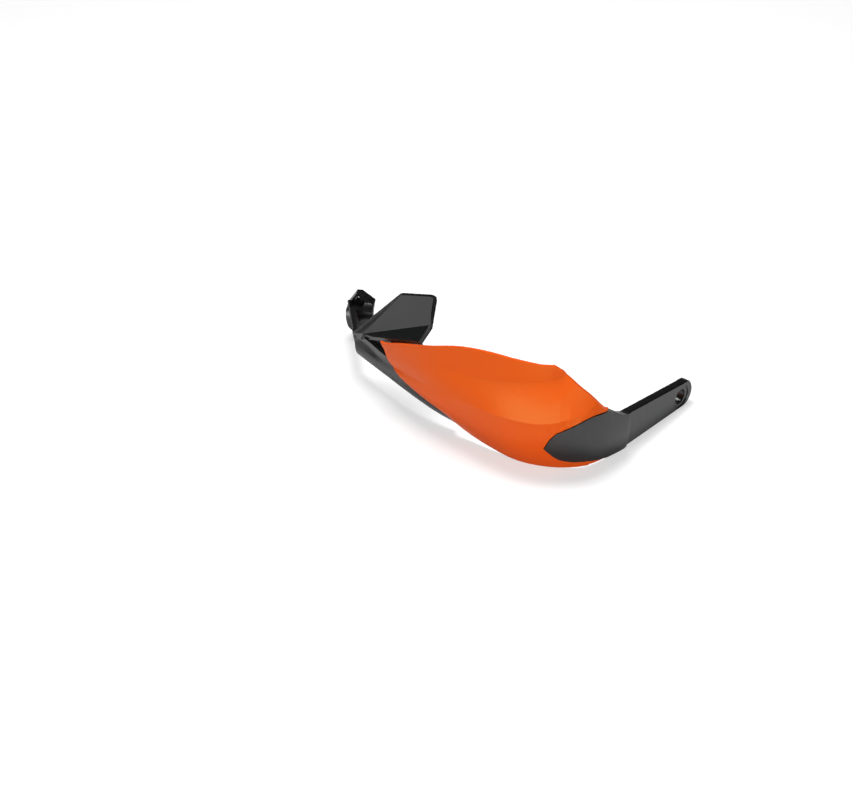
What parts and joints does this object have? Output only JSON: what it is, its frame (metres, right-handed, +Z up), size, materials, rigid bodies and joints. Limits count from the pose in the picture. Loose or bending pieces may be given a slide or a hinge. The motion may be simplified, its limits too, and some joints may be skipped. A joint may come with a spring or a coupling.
{
  "type": "motorcycle hand guard",
  "caption": "Closed motorcycle hand guard for the rider's left hand: black moulded carrier with handlebar clamp half, folded wing and bar end arm, orange deflector shell screwed on from behind",
  "frame": {"origin": "middle of the clamp's saddle, on the bar's axis", "axes": "+X along the bar at the clamp, outboard; +Y back towards the rider; +Z up"},
  "size_m": [0.3662, 0.2347, 0.1246],
  "materials": {
    "carrier_plastic": "matte",
    "shell_plastic": "satin",
    "screw_steel": "black"
  },
  "bodies": {
    "root": {"carrier": "carrier_plastic", "shell": "shell_plastic", "shell_screw_1": "screw_steel", "shell_screw_2": "screw_steel", "shell_screw_3": "screw_steel", "shell_screw_4": "screw_steel", "shell_screw_5": "screw_steel"}
  },
  "joints": []
}
